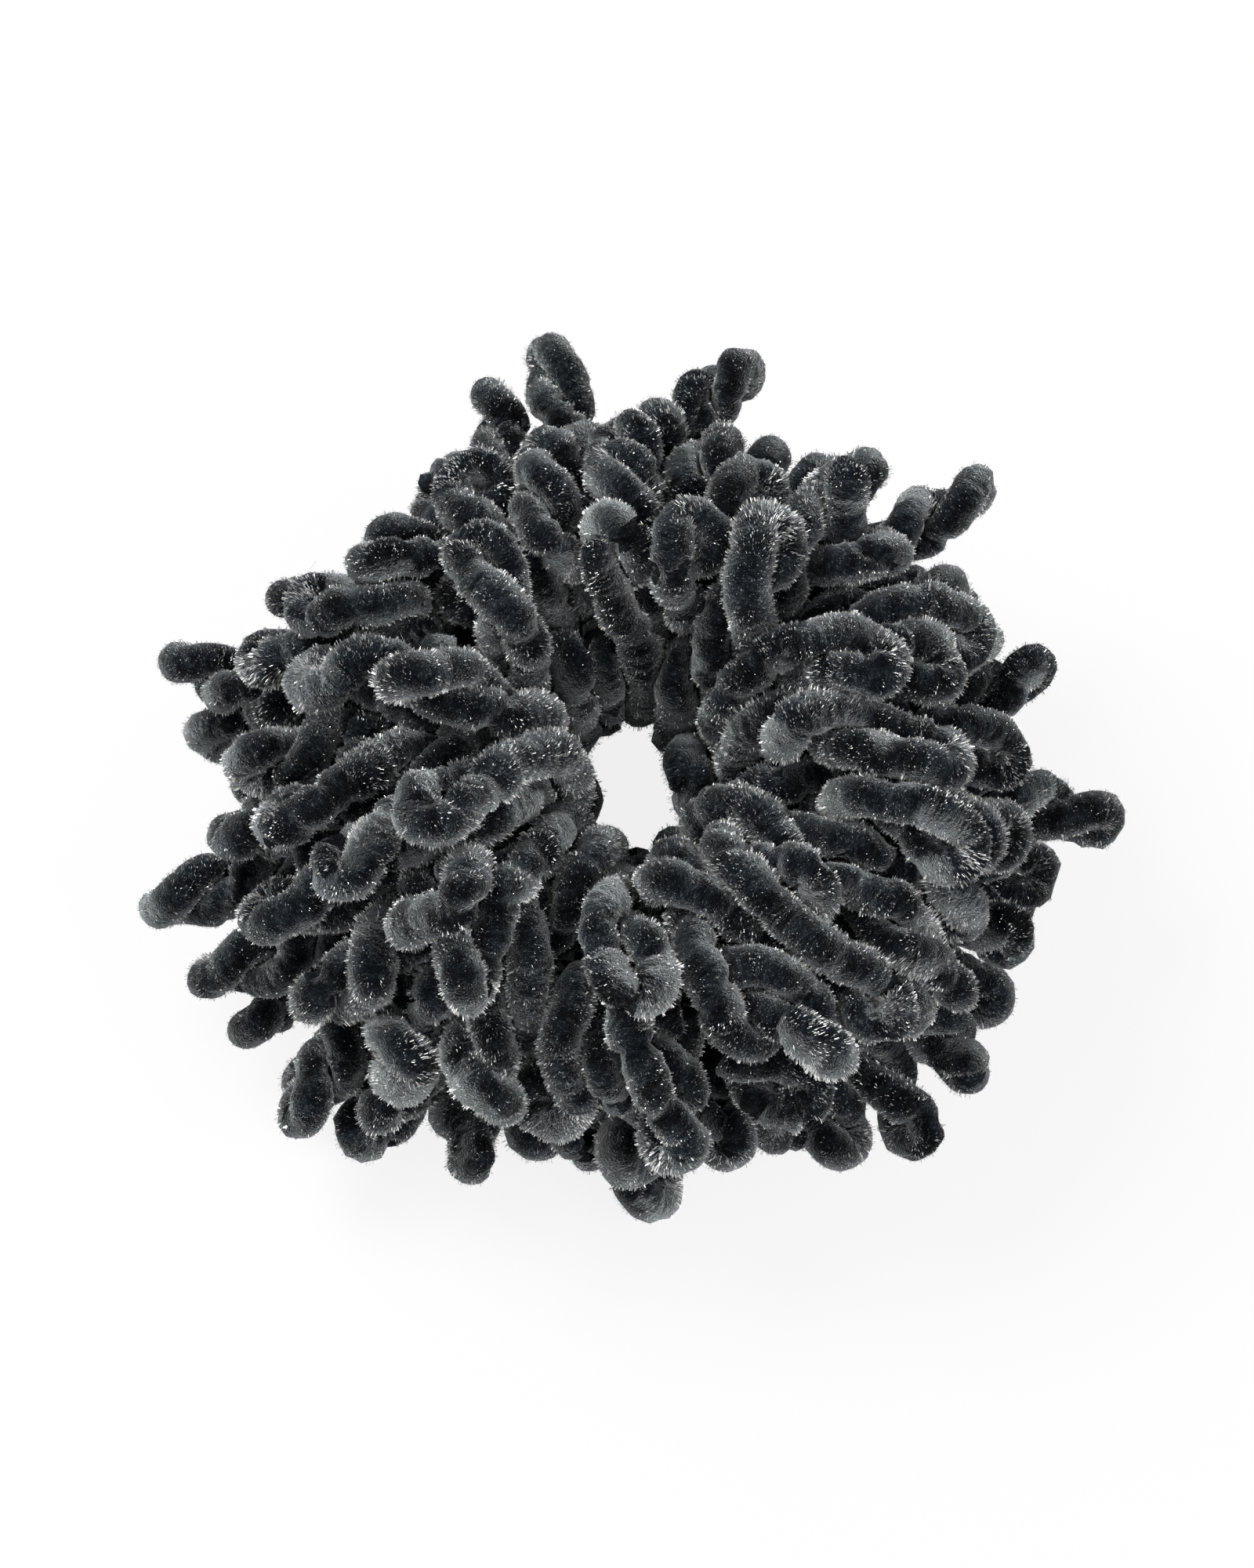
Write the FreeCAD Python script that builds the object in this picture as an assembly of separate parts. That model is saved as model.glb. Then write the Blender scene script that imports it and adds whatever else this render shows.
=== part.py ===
import FreeCAD, Part
import math
import os

# Volumising scrunchie: velvet yarn loops stitched round a hair elastic.
# Millimetres and degrees.  +Z up.  Origin: middle of the part's box, on the resting plane.

# --- driving sizes -------------------------------------------------------------------
RING_RADIUS = 25.0        # centre line of the elastic
RING_HEIGHT = 25.0        # height of the elastic above the resting plane
CORE_RADIUS = 1.9         # rubber core of the elastic
COVER_THICKNESS = 0.8     # braided cover
COVER_CLEARANCE = 0.1     # core to cover, and cover to joining sleeve
SLEEVE_LENGTH = 7.0       # sleeve over the joined ends of the elastic
SLEEVE_WALL = 0.25
YARN_RADIUS = 2.1         # body of the yarn, without the tips of its pile
SEAT_GAP = 0.3            # clearance between bodies that stay apart
HOLE_RADIUS = 7.5         # kept free of yarn round the axis

SEGMENTS = 8              # lengths of stitched elastic that spread apart
STITCHES = 2              # stitches per segment
STRETCH = 12.0            # how far two neighbouring segments spread

# --- how the yarn is laid ------------------------------------------------------------
STEP = 3.6                # length of one run of yarn, corner to corner
SHORTEST_RUN = 0.2        # straight left between two bends
MAX_BEND = 65.0           # sharpest turn between two runs
STRAIGHT_ENOUGH = 0.01    # a corner flatter than this needs no arc
LAY_SPACING = 6.0         # centre to centre of strands lying side by side
LEG_SPACING = 5.4         # between the two strands of one loop
ROOT_SPACING = 5.2        # between strands where they leave the elastic
ROOT_HOLD = 0.45          # share of its span over which a loop keeps its direction at the root
TIP_HOLD = 0.4            # and at the tip
MIDDLE_POINTS = 24        # points on the line between a loop's two strands
TIP_POINTS = 6            # steps of the half circle at the tip
FEWEST_RUNS = 8           # in the shortest loop
FIRST_CENTRE = -90.0      # azimuth of the middle of the first segment

# --- how the strands push each other aside ---------------------------------------------
SETTLE_ROUNDS = 1600
PUSHES = 2                # per round
PULL_TO_SHAPE = 0.03      # share of the way back to its first shape that a point goes per round
RELEASE_RATE = 1.3        # the pull fades to nothing before the last round
SEARCH_EVERY = 8          # rounds between two searches for near strands
NEAR = 8.5                # centres further apart than this can't touch before the next search
GRID_CELL = 9.0           # of the search; two cells are more than NEAR and STRETCH need
OWN_NEIGHBOURS = 3        # points of one strand this close in line don't push each other
TOUCHING = 1e-9           # squared distance below which two points have no direction apart

HALF_TURN = 180.0
SEGMENT_ANGLE = 2 * HALF_TURN / SEGMENTS
COVER_RADIUS = CORE_RADIUS + COVER_CLEARANCE + COVER_THICKNESS
SLEEVE_RADIUS = COVER_RADIUS + COVER_CLEARANCE + SLEEVE_WALL
STITCH_RADIUS = SLEEVE_RADIUS + SEAT_GAP + YARN_RADIUS
ROOT_DEPTH = STITCH_RADIUS + YARN_RADIUS + SEAT_GAP
CLEAR_DEPTH = ROOT_DEPTH + YARN_RADIUS

# Loops by kind, segment by segment.  A row holds the azimuth and lift of the root (lift goes
# round the elastic: 0 outward, 90 up, 180 into the hole), the azimuth, reach and height of the
# tip, the roll of the two strands (0 side by side), half twists, and the bow to one side.
KINDS = ("crown", "upper", "outer", "lower", "under", "inner")
LOOPS = {
    1: (
        ((-79, 85, -66, 55, 30, 10, 2, 8), (-100, 82, -118, 52, 31, 0, 2, -9)),
        ((-72, 70, -58, 54, 27, 20, 2, 6), (-84, 60, -84, 58, 22, 0, 3, -4),
         (-95, 55, -89, 50, 30, 30, 2, 7), (-106, 65, -100, 54, 25, 10, 1, -5),
         (-90, 72, -82, 44, 36, 0, 2, -6)),
        ((-80, 15, -75, 54, 15, 0, 3, 0), (-99, 15, -95, 52, 12, 60, 3, 0),
         (-90, 0, -90, 57, 14, 70, 3, 3)),
        ((-88, -25, -86, 59, 6, 80, 3, 0), (-104, -20, -107, 50, 12, 20, 3, -4),
         (-79, -35, -81, 51, 5, 70, 2, 0)),
        ((-80, -70, -82, 46, 1, 0, 2, 0), (-98, -75, -98, 48, 1, 0, 2, 0)),
        ((-92, 200, -96, 13, 10, 0, 0, 0),),
    ),
    2: (
        ((-38, 98, -27, 52, 42, 0, 2, 9), (-56, 85, -52, 57, 33, 20, 3, -6)),
        ((-33, 70, -34, 55, 34, 10, 2, 4), (-48, 60, -41, 59, 29, 30, 2, 6),
         (-60, 60, -66, 56, 25, 20, 2, -6), (-40, 50, -42, 55, 27, 0, 2, 4),
         (-49, 75, -53, 44, 38, 0, 2, -6)),
        ((-32, 20, -26, 62, 24, 20, 3, 3), (-45, 15, -41, 64, 14, 50, 4, 0),
         (-55, 0, -60, 57, 12, 10, 3, 0)),
        ((-52, -15, -51, 67, 9, 20, 3, 0), (-60, -10, -58, 65, 8, 80, 2, 0),
         (-32, -10, -30, 63, 12, 30, 2, 0), (-42, -35, -42, 51, 5, 70, 2, -2)),
        ((-36, -60, -33, 60, 1, 30, 2, 0), (-53, -70, -56, 50, 1, 0, 1, 0)),
        ((-45, 190, -55, 14, 16, 40, 0, 0),),
    ),
    3: (
        ((-6, 110, -20, 48, 47, 0, 3, -7), (10, 100, 14, 52, 43, 10, 2, 9),
         (2, 128, -2, 36, 57, 0, 1, 6)),
        ((-14, 75, -27, 51, 40, 10, 2, -4), (0, 60, -4, 54, 36, 20, 2, 5),
         (-13, 50, -15, 56, 30, 20, 2, -4), (13, 60, 17, 54, 32, 0, 2, 4),
         (3, 85, 6, 44, 48, 0, 2, 8)),
        ((-4, 20, -5, 70, 22, 60, 4, 0), (11, 20, 15, 64, 29, 50, 3, 0),
         (-12, 0, -14, 63, 22, 10, 2, -3)),
        ((-12, -20, -14, 63, 10, 30, 2, 0), (8, -25, 4, 59, 7, 0, 2, 0),
         (-2, -35, -2, 54, 5, 40, 3, 2)),
        ((-7, -65, -8, 54, 1, 0, 1, 0), (9, -70, 14, 50, 1, 20, 1, 0)),
        ((0, 170, 4, 14, 38, 20, 0, 0),),
    ),
    4: (
        ((38, 105, 27, 46, 48, 10, 2, 7), (54, 105, 56, 36, 55, 0, 2, 5),
         (46, 128, 44, 29, 58, 0, 2, -5)),
        ((35, 70, 24, 50, 37, 20, 2, -2), (48, 65, 51, 47, 44, 0, 3, 3),
         (58, 60, 64, 50, 41, 60, 2, 0), (33, 45, 30, 53, 31, 60, 3, 0),
         (41, 85, 45, 44, 50, 10, 3, 0)),
        ((44, 25, 40, 71, 35, 60, 3, -3), (56, 25, 54, 61, 33, 20, 4, 0),
         (35, 0, 33, 63, 18, 40, 3, 3)),
        ((34, -20, 38, 60, 7, 30, 2, 0), (55, -25, 62, 58, 8, 0, 3, 0),
         (45, -35, 42, 56, 5, 10, 2, -2)),
        ((38, -65, 33, 50, 1, 0, 1, 0), (53, -70, 50, 54, 1, 0, 2, 0)),
        ((45, 160, 50, 16, 44, 0, 0, 0),),
    ),
    5: (
        ((97, 105, 92, 35, 54, 10, 2, 0), (82, 125, 62, 24, 58, 0, 2, -3),
         (90, 128, 96, 27, 57, 0, 2, 0)),
        ((80, 75, 73, 43, 48, 70, 3, 0), (99, 75, 101, 45, 47, 20, 2, 2),
         (86, 60, 84, 48, 42, 30, 3, 2), (103, 55, 97, 50, 39, 0, 2, 0),
         (92, 85, 88, 40, 49, 10, 3, 3)),
        ((84, 35, 74, 64, 42, 40, 4, 5), (100, 30, 100, 71, 36, 80, 3, 0),
         (92, 0, 95, 60, 18, 40, 2, 3)),
        ((80, -25, 78, 60, 7, 0, 3, 0), (100, -20, 102, 61, 11, 30, 3, 0),
         (90, -35, 93, 51, 5, 40, 3, 0)),
        ((83, -65, 90, 54, 1, 20, 2, 0), (98, -75, 108, 49, 1, 0, 2, 0)),
        ((95, 160, 100, 18, 44, 0, 0, 0),),
    ),
    6: (
        ((146, 115, 155, 41, 51, 10, 2, -7), (122, 105, 112, 35, 54, 0, 3, 4),
         (134, 128, 140, 29, 58, 0, 1, 5)),
        ((138, 75, 143, 41, 45, 30, 2, 0), (124, 70, 126, 42, 45, 40, 3, 3),
         (148, 60, 158, 48, 42, 10, 2, 4), (122, 50, 119, 49, 37, 0, 3, 0),
         (131, 85, 127, 39, 51, 70, 3, -3)),
        ((147, 20, 151, 58, 31, 0, 3, 0), (122, 28, 108, 67, 33, 50, 3, -3),
         (135, 0, 132, 58, 22, 40, 2, 0)),
        ((142, -20, 141, 60, 8, 40, 3, 0), (124, -25, 121, 58, 7, 0, 2, 0),
         (148, -10, 157, 62, 17, 30, 2, 0), (133, -35, 136, 54, 5, 10, 2, 2)),
        ((128, -65, 130, 54, 1, 0, 2, 0), (143, -70, 150, 52, 1, 20, 1, 0)),
        ((135, 160, 130, 14, 46, 40, 0, 0),),
    ),
    7: (
        ((190, 105, 202, 53, 44, 0, 2, 9), (168, 105, 161, 48, 48, 10, 2, -7),
         (179, 128, 182, 35, 57, 0, 2, 6)),
        ((170, 65, 166, 56, 37, 0, 2, -4), (193, 65, 207, 53, 34, 0, 2, -4),
         (182, 60, 190, 56, 37, 30, 2, 6), (189, 45, 192, 57, 29, 20, 2, 5),
         (179, 85, 176, 45, 47, 0, 2, -6)),
        ((168, 20, 163, 71, 24, 30, 4, 3), (192, 10, 195, 71, 18, 50, 3, 0),
         (180, 0, 177, 56, 20, 10, 2, 3)),
        ((168, -20, 168, 67, 13, 70, 2, 0), (183, -25, 184, 56, 8, 0, 2, 0),
         (193, -25, 202, 61, 9, 30, 3, 0), (176, -35, 173, 56, 5, 40, 3, 2)),
        ((173, -65, 174, 54, 1, 0, 1, 0), (188, -70, 192, 50, 1, 20, 1, 0)),
        ((180, 175, 175, 14, 36, 30, 0, 0),),
    ),
    8: (
        ((236, 90, 247, 52, 36, 10, 2, -8), (218, 110, 212, 52, 43, 0, 2, 8),
         (227, 105, 226, 43, 48, 0, 2, -6)),
        ((214, 65, 208, 57, 35, 0, 2, 5), (230, 60, 222, 59, 28, 30, 2, 4),
         (236, 55, 237, 57, 26, 20, 3, -4), (243, 60, 254, 54, 25, 20, 2, -4),
         (229, 85, 237, 43, 43, 0, 2, -5)),
        ((213, 15, 207, 67, 19, 30, 3, 3), (226, 10, 227, 68, 14, 30, 4, 0),
         (235, 0, 234, 60, 14, 70, 2, -3)),
        ((215, -15, 213, 70, 11, 0, 2, 0), (240, -20, 248, 60, 8, 20, 3, 0),
         (226, -30, 222, 64, 8, 20, 3, 0), (232, -35, 232, 66, 6, 70, 2, 0)),
        ((231, -60, 236, 58, 2, 40, 1, 0), (217, -70, 214, 50, 1, 0, 2, 0)),
        ((225, 195, 220, 13, 16, 0, 0, 0),),
    ),
}
SEGMENT_CENTRES = {k: FIRST_CENTRE + SEGMENT_ANGLE * (k - 1) for k in LOOPS}
# How far a loop's last stretch points down; an inner loop runs straight to its tip.
DROOP = {"crown": 30.0, "upper": 25.0, "outer": 10.0, "lower": 8.0, "under": 5.0, "inner": None}


def vec(x, y, z):
    return FreeCAD.Vector(x, y, z)


UP = vec(0, 0, 1)


def outward(azimuth):
    a = math.radians(azimuth)
    return vec(math.cos(a), math.sin(a), 0)


def tangent(azimuth):
    a = math.radians(azimuth)
    return vec(-math.sin(a), math.cos(a), 0)


def ring_point(azimuth):
    return outward(azimuth) * RING_RADIUS + UP * RING_HEIGHT


def unit(v):
    length = v.Length
    return v * (1.0 / length)


def turn(v, axis, degrees):
    """v turned about a unit axis."""
    a = math.radians(degrees)
    return v * math.cos(a) + axis.cross(v) * math.sin(a) + axis * (axis.dot(v) * (1 - math.cos(a)))


# --- first shape of a loop ------------------------------------------------------------
def middle_line(root_azimuth, lift, tip_azimuth, reach, height, bow, droop):
    """The line midway between a loop's two strands, root to tip."""
    a = math.radians(lift)
    normal = outward(root_azimuth) * math.cos(a) + UP * math.sin(a)
    start = ring_point(root_azimuth) + normal * ROOT_DEPTH
    tip = outward(tip_azimuth) * reach + UP * height
    span = (tip - start).Length
    ahead = tip - start
    ahead.z = 0
    ahead = unit(ahead)
    if droop is None:
        arrival = unit(tip - start)
    else:
        d = math.radians(droop)
        arrival = ahead * math.cos(d) - UP * math.sin(d)
    sideways = UP.cross(ahead) * bow
    p1 = start + normal * (ROOT_HOLD * span) + sideways
    p2 = tip - arrival * (TIP_HOLD * span) + sideways
    points = []
    for i in range(MIDDLE_POINTS + 1):
        u = i / MIDDLE_POINTS
        w = 1 - u
        points.append(start * w ** 3 + p1 * (3 * w * w * u) + p2 * (3 * w * u * u) + tip * u ** 3)
    return points


def sides(points, roll, half_twists):
    """Unit vectors from one strand to the other along the middle line, carried back from the tip."""
    directions = []
    for i in range(len(points)):
        a = points[max(i - 1, 0)]
        b = points[min(i + 1, len(points) - 1)]
        directions.append(unit(b - a))
    side = unit(directions[-1].cross(UP))
    carried = [side]
    for d in reversed(directions[:-1]):
        side = unit(side - d * side.dot(d))
        carried.append(side)
    carried.reverse()
    last = len(points) - 1
    result = []
    for i, d in enumerate(directions):
        result.append(turn(carried[i], d, roll + HALF_TURN * half_twists * (1 - i / last)))
    return result, directions[-1]


def outline(kind, row):
    """Both strands and the bend at the tip, as points STEP apart."""
    root_azimuth, lift, tip_azimuth, reach, height, roll, half_twists, bow = row
    points = middle_line(root_azimuth, lift, tip_azimuth, reach, height, bow, DROOP[kind])
    side, ahead = sides(points, roll, half_twists)
    half = LEG_SPACING / 2
    first = [p + s * half for p, s in zip(points, side)]
    second = [p - s * half for p, s in zip(points, side)]
    tip = points[-1]
    bend = []
    for i in range(1, TIP_POINTS):
        a = math.pi * i / TIP_POINTS
        bend.append(tip + side[-1] * (half * math.cos(a)) + ahead * (half * math.sin(a)))
    path = first + bend + second[::-1]
    lengths = [0.0]
    for a, b in zip(path, path[1:]):
        lengths.append(lengths[-1] + (b - a).Length)
    runs = max(FEWEST_RUNS, round(lengths[-1] / STEP))
    spaced = []
    at = 0
    for i in range(runs + 1):
        want = lengths[-1] * i / runs
        while at < len(path) - 2 and lengths[at + 1] < want:
            at += 1
        share = (want - lengths[at]) / (lengths[at + 1] - lengths[at])
        spaced.append(path[at] + (path[at + 1] - path[at]) * share)
    return spaced, lengths[-1] / runs


# --- settling: strands push each other aside -------------------------------------------
class Yarn:
    """All loops as chains of points that keep their length and stay clear of each other."""

    def __init__(self):
        self.x = []
        self.y = []
        self.z = []
        self.segment = []
        self.loop = []
        self.root = []
        self.chains = []

    def add(self, segment, points, step):
        start = len(self.x)
        for k, p in enumerate(points):
            self.x.append(p.x)
            self.y.append(p.y)
            self.z.append(p.z)
            self.root.append(k < 2 or k >= len(points) - 2)
            self.segment.append(segment)
            self.loop.append(len(self.chains))
        self.chains.append((start, start + len(points), step))

    def finish(self):
        self.home = (list(self.x), list(self.y), list(self.z))

    def near_pairs(self):
        """Pairs that may touch now or while neighbouring segments spread."""
        cell = GRID_CELL
        reach = NEAR * NEAR
        grid = {}
        x, y, z = self.x, self.y, self.z
        for i in range(len(x)):
            key = (int(x[i] // cell), int(y[i] // cell), int(z[i] // cell))
            grid.setdefault(key, []).append(i)
        pairs = []
        for (a, b, c), members in grid.items():
            around = []
            for da in (-2, -1, 0, 1, 2):
                for db in (-2, -1, 0, 1, 2):
                    for dc in (-1, 0, 1):
                        around.extend(grid.get((a + da, b + db, c + dc), ()))
            for i in members:
                xi, yi, zi = x[i], y[i], z[i]
                for j in around:
                    if j <= i:
                        continue
                    if self.loop[i] == self.loop[j] and j - i < OWN_NEIGHBOURS:
                        continue
                    spacing = LEG_SPACING if self.loop[i] == self.loop[j] else LAY_SPACING
                    if self.root[i] and self.root[j]:
                        spacing = ROOT_SPACING
                    dx = x[j] - xi
                    dy = y[j] - yi
                    dz = z[j] - zi
                    if dz * dz > reach:
                        continue
                    apart = (self.segment[j] - self.segment[i]) % SEGMENTS
                    if apart == 1 or apart == SEGMENTS - 1:
                        lower = self.segment[i] if apart == 1 else self.segment[j]
                        t = tangent(SEGMENT_CENTRES[lower] + SEGMENT_ANGLE / 2)
                        sign = 1.0 if apart == 1 else -1.0
                        tx, ty = t.x * sign, t.y * sign
                        s = min(max(-(dx * tx + dy * ty), 0.0), STRETCH)
                        if (dx + s * tx) ** 2 + (dy + s * ty) ** 2 + dz * dz < reach:
                            pairs.append((i, j, tx, ty, spacing))
                    elif dx * dx + dy * dy + dz * dz < reach:
                        pairs.append((i, j, 0.0, 0.0, spacing))
        return pairs

    def push_apart(self, pairs):
        x, y, z = self.x, self.y, self.z
        for i, j, tx, ty, spacing in pairs:
            dz = z[j] - z[i]
            if dz > spacing or dz < -spacing:
                continue
            dx = x[j] - x[i]
            dy = y[j] - y[i]
            if tx or ty:
                s = -(dx * tx + dy * ty)
                if s > 0:
                    s = min(s, STRETCH)
                    dx += s * tx
                    dy += s * ty
            d2 = dx * dx + dy * dy + dz * dz
            if d2 >= spacing * spacing or d2 < TOUCHING:
                continue
            d = math.sqrt(d2)
            f = 0.5 * (spacing - d) / d
            x[i] -= dx * f
            y[i] -= dy * f
            z[i] -= dz * f
            x[j] += dx * f
            y[j] += dy * f
            z[j] += dz * f

    def keep_lengths(self):
        x, y, z = self.x, self.y, self.z
        straightest = 2 * math.cos(math.radians(MAX_BEND / 2))
        for start, stop, step in self.chains:
            shortest = straightest * step
            for i in range(start, stop - 2):
                self.hold(i, i + 2, shortest, False)
            for i in range(start, stop - 1):
                self.hold(i, i + 1, step, True)

    def hold(self, i, j, length, both_ways):
        x, y, z = self.x, self.y, self.z
        dx = x[j] - x[i]
        dy = y[j] - y[i]
        dz = z[j] - z[i]
        d = math.sqrt(dx * dx + dy * dy + dz * dz)
        if d > length and not both_ways:
            return
        f = 0.5 * (d - length) / d
        x[i] += dx * f
        y[i] += dy * f
        z[i] += dz * f
        x[j] -= dx * f
        y[j] -= dy * f
        z[j] -= dz * f

    def keep_off(self):
        """Clear of the resting plane, the stitches and the hole."""
        x, y, z = self.x, self.y, self.z
        for i in range(len(x)):
            if z[i] < YARN_RADIUS:
                z[i] = YARN_RADIUS
            r = math.hypot(x[i], y[i])
            free = HOLE_RADIUS + YARN_RADIUS
            if r < free:
                x[i] *= free / r
                y[i] *= free / r
                r = free
            across = r - RING_RADIUS
            above = z[i] - RING_HEIGHT
            d = math.hypot(across, above)
            if d < CLEAR_DEPTH:
                grow = CLEAR_DEPTH / d
                across *= grow
                r_new = RING_RADIUS + across
                x[i] *= r_new / r
                y[i] *= r_new / r
                z[i] = RING_HEIGHT + above * grow

    def seat_roots(self):
        """Each strand starts square on the stitched elastic, inside its own segment."""
        for start, stop, step in self.chains:
            self.seat(start, start + 1, step)
            self.seat(stop - 1, stop - 2, step)

    def seat(self, root, following, step):
        x, y, z = self.x, self.y, self.z
        mx = (x[root] + x[following]) / 2
        my = (y[root] + y[following]) / 2
        mz = (z[root] + z[following]) / 2
        centre = SEGMENT_CENTRES[self.segment[root]]
        azimuth = math.degrees(math.atan2(my, mx))
        off = (azimuth - centre + HALF_TURN) % (2 * HALF_TURN) - HALF_TURN
        across = math.hypot(mx, my) - RING_RADIUS
        above = mz - RING_HEIGHT
        d = math.hypot(across, above)
        across /= d
        above /= d
        radius = RING_RADIUS + across * ROOT_DEPTH
        room = SEGMENT_ANGLE / 2 - math.degrees(math.asin((YARN_RADIUS + SEAT_GAP / 2) / radius))
        azimuth = centre + min(max(off, -room), room)
        e = outward(azimuth)
        for i, depth in ((root, ROOT_DEPTH), (following, ROOT_DEPTH + step)):
            r = RING_RADIUS + across * depth
            x[i] = e.x * r
            y[i] = e.y * r
            z[i] = RING_HEIGHT + above * depth

    def settle(self):
        hx, hy, hz = self.home
        x, y, z = self.x, self.y, self.z
        pairs = []
        for round_number in range(SETTLE_ROUNDS):
            if round_number % SEARCH_EVERY == 0:
                pairs = self.near_pairs()
            pull = PULL_TO_SHAPE * max(0.0, 1 - RELEASE_RATE * round_number / SETTLE_ROUNDS)
            for i in range(len(x)):
                x[i] += (hx[i] - x[i]) * pull
                y[i] += (hy[i] - y[i]) * pull
                z[i] += (hz[i] - z[i]) * pull
            self.keep_lengths()
            for push in range(PUSHES):
                self.push_apart(pairs)
            self.keep_off()
            self.seat_roots()

    def to_centre(self):
        """The level move that puts the middle of the part's box over the origin."""
        x, y = self.x, self.y
        return vec(-(min(x) + max(x)) / 2, -(min(y) + max(y)) / 2, 0)

    def points(self, number):
        start, stop, step = self.chains[number]
        return [vec(self.x[i], self.y[i], self.z[i]) for i in range(start, stop)]


# --- solids ---------------------------------------------------------------------------
def tube(points, radius):
    """A round strand: straight runs joined by tangent arcs."""
    edges = []
    at = points[0]
    for before, corner, after in zip(points, points[1:], points[2:]):
        inward = unit(before - corner)
        onward = unit(after - corner)
        shortest = min((before - corner).Length, (after - corner).Length)
        cut = shortest / 2 - SHORTEST_RUN / 2
        arc_start = corner + inward * cut
        arc_end = corner + onward * cut
        bisector = inward + onward
        if bisector.Length < STRAIGHT_ENOUGH:
            continue
        bisector = unit(bisector)
        half_angle = bisector.getAngle(inward)
        bend = cut * math.tan(half_angle)
        centre = corner + bisector * (bend / math.sin(half_angle))
        edges.append(Part.LineSegment(at, arc_start).toShape())
        edges.append(Part.Arc(arc_start, centre - bisector * bend, arc_end).toShape())
        at = arc_end
    edges.append(Part.LineSegment(at, points[-1]).toShape())
    profile = Part.Wire([Part.Circle(points[0], points[1] - points[0], radius).toShape()])
    return Part.Wire(edges).makePipeShell([profile], True, False)


def ring(azimuth, radius, tube_radius):
    """A closed ring round the elastic."""
    return Part.makeTorus(radius, tube_radius, ring_point(azimuth), tangent(azimuth))


def band(radius):
    """The whole elastic as one round ring."""
    return Part.makeTorus(RING_RADIUS, radius, UP * RING_HEIGHT, UP)


def joining_sleeve():
    """Sleeve over the joined ends, in the middle of the first segment."""
    centre = SEGMENT_CENTRES[1]
    half = math.degrees(SLEEVE_LENGTH / 2 / RING_RADIUS)
    middle = [ring_point(centre + half * share) for share in (-1, 0, 1)]
    path = Part.Wire([Part.Arc(*middle).toShape()])
    solids = []
    for radius in (SLEEVE_RADIUS, SLEEVE_RADIUS - SLEEVE_WALL):
        circle = Part.Circle(middle[0], tangent(centre - half), radius)
        solids.append(path.makePipeShell([Part.Wire([circle.toShape()])], True, False))
    return solids[0].cut(solids[1])


def stitches(segment):
    """The yarn rings that hold a segment's loops on the elastic."""
    pitch = SEGMENT_ANGLE / STITCHES
    first = SEGMENT_CENTRES[segment] - pitch * (STITCHES - 1) / 2
    return [ring(first + pitch * i, STITCH_RADIUS, YARN_RADIUS) for i in range(STITCHES)]


def export(name, solids, shift):
    shape = solids[0] if len(solids) == 1 else Part.makeCompound(solids)
    shape.translate(shift)
    shape.exportStep(os.path.join("parts", name + ".step"))


def main():
    os.makedirs("parts", exist_ok=True)
    yarn = Yarn()
    nodes = []
    for segment, rows in LOOPS.items():
        for kind, specs in zip(KINDS, rows):
            for row in specs:
                nodes.append(f"segment_{segment}_{kind}_loops")
                yarn.add(segment, *outline(kind, row))
    yarn.finish()
    yarn.settle()
    shift = yarn.to_centre()
    groups = {}
    for number, node in enumerate(nodes):
        groups.setdefault(node, []).append(tube(yarn.points(number), YARN_RADIUS))
    for segment in LOOPS:
        groups[f"segment_{segment}_stitches"] = stitches(segment)
    groups["elastic_core"] = [band(CORE_RADIUS)]
    groups["elastic_cover"] = [band(COVER_RADIUS).cut(band(CORE_RADIUS + COVER_CLEARANCE))]
    groups["joining_sleeve"] = [joining_sleeve()]
    for node, solids in groups.items():
        export(node, solids, shift)


main()
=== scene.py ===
import math

import bpy
import numpy as np
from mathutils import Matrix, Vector


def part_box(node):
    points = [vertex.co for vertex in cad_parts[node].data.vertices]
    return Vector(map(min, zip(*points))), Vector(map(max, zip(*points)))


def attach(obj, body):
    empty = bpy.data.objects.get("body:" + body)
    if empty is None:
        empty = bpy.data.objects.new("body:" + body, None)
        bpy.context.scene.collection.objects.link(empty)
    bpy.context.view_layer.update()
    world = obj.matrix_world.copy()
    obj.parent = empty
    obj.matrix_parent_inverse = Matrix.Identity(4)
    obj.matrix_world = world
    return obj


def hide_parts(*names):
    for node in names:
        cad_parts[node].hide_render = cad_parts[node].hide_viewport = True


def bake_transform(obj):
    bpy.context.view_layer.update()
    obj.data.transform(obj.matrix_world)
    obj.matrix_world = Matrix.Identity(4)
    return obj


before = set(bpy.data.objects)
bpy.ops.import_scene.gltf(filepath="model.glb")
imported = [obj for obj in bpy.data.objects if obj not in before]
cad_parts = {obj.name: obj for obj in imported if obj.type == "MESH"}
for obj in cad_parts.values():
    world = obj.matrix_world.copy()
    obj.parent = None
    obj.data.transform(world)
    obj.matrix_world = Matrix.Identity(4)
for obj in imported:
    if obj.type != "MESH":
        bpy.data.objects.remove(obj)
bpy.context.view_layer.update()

UP = np.array((0, 0, 1.0))
SEGMENTS = 8
TURN = 2 * math.pi / SEGMENTS
FIRST_CENTRE = -math.pi / 2
FULL_TURN = 6.28          # radians, the range of a random phase

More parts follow.
